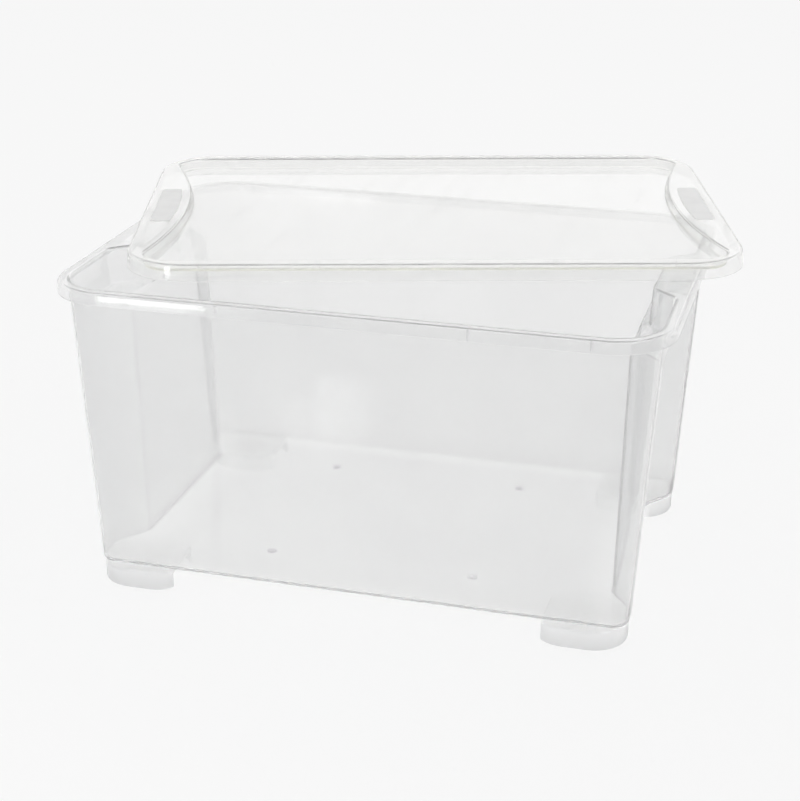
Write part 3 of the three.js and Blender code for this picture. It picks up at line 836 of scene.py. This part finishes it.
def stakeShape():
    # a flattened dome under the housing's top plate
    d = stake
    s, c = quarter(d["roundSteps"])
    low = -foot["gap"] * 2 - foot["top"] - d["thick"]
    high = low + d["thick"]
    dome = np.stack([d["radius"] - d["round"] * (1 - s), low + d["round"] * (1 - c)], -1)
    profile = np.concatenate([[[d["flat"], low]], dome, [[d["radius"], high], [d["flat"], high]]])
    return loft(lathe(profile, d["steps"]))


def gateShape():
    # a shallow round disc with a small nib in the middle, from its radii and depths under the floor
    return loft(lathe(gate["profile"], gate["steps"]))


def ribShape(x, side):
    # a thin rounded plate that bridges the wall and the rim's skirt, drawn out along y
    r, t = rib, tub
    top = t["height"] - t["wall"] - r["gap"]
    path = roundPath(r["steps"], r["sideStops"], r["endStops"])
    plate = plateOutline(path, r["half"], r["tall"] / 2, r["round"])
    z = plate[:, 1] + top - r["tall"] / 2
    wall = t["width"] / 2 - t["overhang"] - t["sideLean"] * (1 - z / t["height"]) + r["wallGap"]
    skirt = t["width"] / 2 - t["wall"] - t["skirtLean"] - r["gap"] + 0 * z
    ends = [np.stack([plate[:, 0] + x, side * y, z - t["floor"]], -1) for y in (wall, skirt)]
    return loft(np.stack(ends if side < 0 else ends[::-1]))


ribs = [ribShape(x, side) for side in (-1, 1) for x in rib["x"]]
place(putMesh("rimRibs", joined(ribs)), tubPlastic, "box")
stakes = [moved(stakeShape(), 0.0, (sx * foot["x"] + reach, sy * foot["y"], -tub["floor"]))
          for sx, sy in corners.values() for reach in (-stake["reach"], stake["reach"])]
place(putMesh("stakeHeads", joined(stakes)), footPlastic, "box")
gates = [moved(gateShape(), 0.0, (sx * gate["x"], sy * gate["y"], -tub["floor"]))
         for sx, sy in corners.values()]
place(putMesh("floorGates", joined(gates)), tubPlastic, "box")
print("marks made")


# lid

lid = {
    "wall": 2.0, "skirt": 16.5, "flare": 1.2, "edge": 3.0, "bevel": 2.0, "fit": 0.3, "stepInset": 15.9,
    "depth": 9.5, "panelCorner": 26.0, "bow": 26.0, "lean": 1.5,
    "x": 0.6, "y": 115.6, "turn": 16.45, "z": 308.8,
    "root": 1.2, "footEdge": 0.7, "panelFillet": 1.6, "ridge": 0.5, "crown": 0.12, "bulge": 0.1,
    "flatShares": (0.35, 0.7, 0.93, 0.985),  # rings of the panel, towards its edge
    "sideStraight": 0.94, "sideStops": 13, "endStraight": 0.96, "endStops": 25,
    "ribs": (-226.0, -112.0, 112.0, 226.0), "ribHigh": 1.0, "ribHalf": 1.5, "ribEdge": 0.6,
    "ribFoot": 0.2, "ribSlack": 1.0,  # how near the panel a rib ends, and how near the step's face counts
    "cornerSteps": 22, "filletSteps": 5,
}
pad = {
    "length": 122.0, "margin": 8.0, "corner": 5.0, "thick": 1.0, "proud": 0.3, "gap": 0.3, "soft": 0.25,
    "flatRings": (1.2, 3.0),  # how far inside its edge the rings of a flat lie
    "pocketTop": 2.0, "bendSteps": 14, "sideSteps": 11, "roundSteps": 4,
}
panelStraight = tub["width"] / 2 - lid["stepInset"] - lid["panelCorner"]


def lidSection(grow, z):
    # the rim's outline, grown
    grow, z = spread(grow, z)
    return np.stack([tub["length"] / 2 + grow, tub["width"] / 2 + grow, tub["corner"] + grow, z,
                     0 * z, 0 * z + 1])


def panelSection(grow, z):
    # the sunk panel's outline, grown, with its short ends bowed in
    grow, z = spread(grow, z)
    inset = lid["stepInset"] - grow
    return np.stack([tub["length"] / 2 - inset, tub["width"] / 2 - inset, lid["panelCorner"] + grow, z,
                     np.full(z.shape, lid["bow"]), np.full(z.shape, panelStraight)])


def lidShape():
    # from the middle of the underside out to the skirt, over the border and down the step to the panel
    d = lid
    s, c = quarter(d["filletSteps"])
    names = ("wall", "root", "footEdge", "panelFillet", "ridge", "bevel", "lean")
    w, k, e, r, v, b, lean = (d[name] for name in names)
    outer, flared = d["fit"] + w, d["fit"] + d["flare"]
    under, foot = -d["depth"] - w, -d["skirt"]
    shares = np.array(d["flatShares"])
    stepFoot = w - lean
    rise = between(0.0, 1.0, 4)
    sections = [
        drawnIn(panelSection([stepFoot - r], [under]), shares),
        panelSection(stepFoot - r * (1 - s), under + r * (1 - c)),
        panelSection(stepFoot + lean * rise, under + r + (d["depth"] - r - k) * rise),
        panelSection(w + k * (1 - c), -w - k * (1 - s)),
        lidSection(d["fit"] - k * (1 - s), -w - k * (1 - c)),
        lidSection(flared + e * (1 - c), foot + e * (1 - s)),
        lidSection(flared + w - e * (1 - s), foot + e * (1 - c)),
        lidSection(outer + d["flare"] * (1 - rise), foot + (d["skirt"] - d["edge"]) * rise),
        lidSection(outer - d["edge"] * (1 - c), -d["edge"] * (1 - s)),
        panelSection([b + v, b, b - v], [0.0, -d["crown"], -v]),
        panelSection([v, 0.0, -d["bulge"]], [v - b, -b, -b - v]),
        panelSection(-lean * rise, -b - (d["depth"] - b - r) * rise),
        panelSection(-lean - r * (1 - c), -d["depth"] + r * (1 - s)),
        drawnIn(panelSection([-lean - r], [-d["depth"]]), shares[::-1]),
    ]
    halfX, halfY, radius, z, bow, straight = np.concatenate(sections, 1)
    reach = tub["length"] / 2 - d["stepInset"] - d["panelCorner"]
    ribEnds = d["ribHalf"] - np.array([0.0, d["ribEdge"]])
    ribStops = np.add.outer(d["ribs"], np.concatenate([-ribEnds, ribEnds])).ravel() / reach
    sideEven = np.linspace(-d["sideStraight"], d["sideStraight"], d["sideStops"])
    endStops = np.linspace(-d["endStraight"], d["endStraight"], d["endStops"])
    path = roundPath(d["cornerSteps"], np.sort(np.append(sideEven, ribStops)), endStops)
    rings = ringStack(path, halfX, halfY, radius, z, bow, straight)
    # small upright ribs on the long faces of the step
    x, y, high = rings[..., 0], rings[..., 1], z[:, None]
    onStep = (bow[:, None] > 0) & (high < -b) & (high > -d["depth"] + d["ribFoot"])
    onFace = np.abs(y) > panelStraight + d["panelCorner"] - lean - r - d["ribSlack"]
    upper = np.arange(len(z))[:, None] > len(z) // 2
    off = np.abs(x[..., None] - np.array(d["ribs"]))
    near = np.clip((d["ribHalf"] - off) / d["ribEdge"], 0.0, 1.0).max(-1)
    rings[..., 1] = y - np.sign(y) * d["ribHigh"] * near * (onStep & onFace & upper)
    return loft(rings)


def panelBow(y):
    # how far the panel's short end is drawn in, by a parabola
    return lid["bow"] * (1 - (y / panelStraight) ** 2)


def bent(a, b, c, steps):
    # a quadratic curve from a to c, drawn towards b
    a, b, c = (np.array(v, float) for v in (a, b, c))
    t = np.linspace(0.0, 1.0, steps)[:, None]
    return (1 - t) ** 2 * a + 2 * t * (1 - t) * b + t ** 2 * c


def padOutline(grow):
    # a D from straight runs and quadratic bends, the inner side following the panel's bow
    p = pad
    half, n = p["length"] / 2 + grow, p["bendSteps"]
    bend = half - p["corner"]
    panelEdge = tub["length"] / 2 - lid["stepInset"] + lid["bevel"]
    outer = tub["length"] / 2 + lid["fit"] + lid["wall"] - lid["edge"] - p["margin"] + grow
    middle = panelEdge - panelBow(0.0) + p["margin"] - grow
    inner = panelEdge - panelBow(bend) + p["margin"] - grow
    along = between(-bend, bend, p["sideSteps"])
    return np.concatenate([
        np.stack([np.full(len(along), outer), along], -1),
        bent((outer, bend), (outer, half), (outer - p["corner"], half), n),
        bent((inner + p["corner"], half), (inner, half), (inner, bend), n),
        bent((inner, bend), (2 * middle - inner, 0.0), (inner, -bend), n)[1:-1],
        bent((inner, -bend), (inner, -half), (inner + p["corner"], -half), n),
        bent((outer - p["corner"], -half), (outer, -half), (outer, -bend), n),
    ])


def padRings(insets, heights):
    # the outline drawn in by each inset, at each height
    outlines = [padOutline(-inset) for inset in insets]
    return np.stack([np.column_stack([q, np.full(len(q), z)]) for q, z in zip(outlines, heights)])


def padShape():
    # a flat underside, upright sides and a soft upper edge
    p = pad
    s, c = quarter(p["roundSteps"])
    low, high, k = p["proud"] - p["thick"], p["proud"], p["soft"]
    insets = np.concatenate([[p["flatRings"][1], 0.0], k * (1 - c), p["flatRings"]])
    heights = np.concatenate([[low, low], high - k * (1 - s), [high, high]])
    return loft(padRings(insets, heights))


def pocketShape():
    # the pad's outline with a gap all round, from under the pad to above the lid
    p = pad
    low = p["proud"] - p["thick"] - p["gap"]
    return loft(padRings([-p["gap"], -p["gap"]], [low, p["pocketTop"]]))


lidTurn = math.radians(lid["turn"])
lidAt = (lid["x"], lid["y"], lid["z"])
lidShell = putMesh("lidShell", moved(lidShape(), lidTurn, lidAt))
for turn in (0.0, math.pi):
    carve(lidShell, moved(pocketShape(), lidTurn + turn, lidAt))
place(lidShell, lidPlastic, "lid", "lid")
for name, turn in (("Right", 0.0), ("Left", math.pi)):
    gripPad = putMesh("gripPad" + name, moved(padShape(), lidTurn + turn, lidAt))
    place(gripPad, padPlastic, "lid", "lid_grip_pad_" + name.lower())
print("lid made")


# floor, world and lamps

studio = {
    "ground": -24.5, "reach": 15000.0, "rings": (1.0, 0.3, 0.1, 0.02), "sides": 96,
    "paper": (0.93, 0.93, 0.93), "grainScale": 3.0, "grainShare": 0.998,
    "seen": 0.943,  # what the camera sees of the paper and the backdrop
    "share": 0.86,  # how much of that the camera sees, against the lit and shadowed paper
    "shareThrough": 0.96,  # the same for gloss and through plastic
    "world": 0.88,
    "bounces": 96, "softBounces": 48,  # clear walls behind clear walls need many
}
lamps = {
    "overhead": {
        "at": (700.0, 300.0, 2500.0), "to": (0.0, 0.0, 150.0), "size": (2400.0, 1800.0), "watts": 6.0,
    },
    "back": {
        "at": (-400.0, 2400.0, 1330.0), "to": (0.0, 100.0, 300.0), "size": (2200.0, 1000.0), "watts": 1.0,
    },
    "frontLeft": {  # for the bright strip on the rim
        "at": (-484.0, -900.0, 305.0), "to": (-150.0, -200.0, 270.0), "size": (160.0, 325.0), "watts": 0.76,
    },
}


def seenFactor(tree, direct, through):
    # the largest of one share for rays from the camera and another for gloss and through plastic
    path = tree.nodes.new("ShaderNodeLightPath")
    kinds = (("Is Camera Ray", direct), ("Is Glossy Ray", through), ("Is Transmission Ray", through))
    first, *others = [mathNode(tree, "MULTIPLY", path.outputs[name], share) for name, share in kinds]
    for other in others:
        first = mathNode(tree, "MAXIMUM", first, other)
    return first


def floorShape():
    # flat rings round the middle, closed there by a fan
    g = studio
    a = np.linspace(0.0, 2 * np.pi, g["sides"], endpoint=False)
    radius = g["reach"] * np.array(g["rings"])[:, None]
    level = np.full((len(radius), len(a)), g["ground"])
    rings = np.stack([radius * np.cos(a), radius * np.sin(a), level], -1)
    points, faces = loft(rings, closeEnds=False)
    i = np.arange(len(a))
    inner = len(points) - len(a)
    faces.append(np.stack([np.full(len(a), len(points)), inner + i, inner + (i + 1) % len(a)], -1))
    return np.concatenate([points, [[0.0, 0.0, g["ground"]]]]), faces


def makeFloor():
    # paper that takes shadows, mostly seen at one even tone
    g = studio
    floor = putMesh("studioFloor", floorShape())
    m, tree, out, p = newMaterial("studioPaper")
    grain = noiseNode(tree, objectVector(tree))
    grain.inputs["Scale"].default_value = g["grainScale"]
    low = tuple(v * g["grainShare"] for v in g["paper"])
    tree.links.new(mixColor(tree, grain.outputs["Fac"], g["paper"], low), p.inputs["Base Color"])
    p.inputs["Roughness"].default_value = 1.0
    p.inputs["Specular IOR Level"].default_value = 0.0
    glow = tree.nodes.new("ShaderNodeEmission")
    glow.inputs["Strength"].default_value = g["seen"]
    glow.inputs["Color"].default_value = (*white, 1)
    factor = seenFactor(tree, g["share"], g["shareThrough"])
    mixShaders(tree, factor, p.outputs["BSDF"], glow.outputs["Emission"], out.inputs["Surface"])
    floor.data.materials.append(m)


def makeWorld():
    # one strength that lights, another that is seen
    world = bpy.data.worlds.new("studioWorld")
    scene.world = world
    world.use_nodes = True
    tree = world.node_tree
    tree.nodes.clear()
    out = tree.nodes.new("ShaderNodeOutputWorld")
    sides = []
    for strength in (studio["world"], studio["seen"]):
        side = tree.nodes.new("ShaderNodeBackground")
        side.inputs["Color"].default_value = (*white, 1)
        side.inputs["Strength"].default_value = strength
        sides.append(side.outputs["Background"])
    mixShaders(tree, seenFactor(tree, 1.0, 1.0), *sides, out.inputs["Surface"])


def makeLamp(name, v):
    # a rectangle of light that faces its target
    data = bpy.data.lights.new(name, "AREA")
    data.shape = "RECTANGLE"
    data.size, data.size_y = (s * mm for s in v["size"])
    data.energy = v["watts"]
    lamp = bpy.data.objects.new(name, data)
    scene.collection.objects.link(lamp)
    lamp.location = Vector(v["at"]) * mm
    lamp.rotation_euler = (Vector(v["to"]) - Vector(v["at"])).to_track_quat("-Z", "Y").to_euler()


makeFloor()
makeWorld()
for lampName, lampValues in lamps.items():
    makeLamp(lampName, lampValues)
scene.view_settings.view_transform = "Standard"
scene.cycles.max_bounces = studio["bounces"]
scene.cycles.diffuse_bounces = studio["softBounces"]
scene.cycles.transmission_bounces = studio["bounces"]
scene.cycles.glossy_bounces = studio["bounces"]
scene.cycles.transparent_max_bounces = studio["bounces"]
scene.cycles.blur_glossy = 0.0  # a blur after a soft bounce darkens clear plastic
print("studio made")
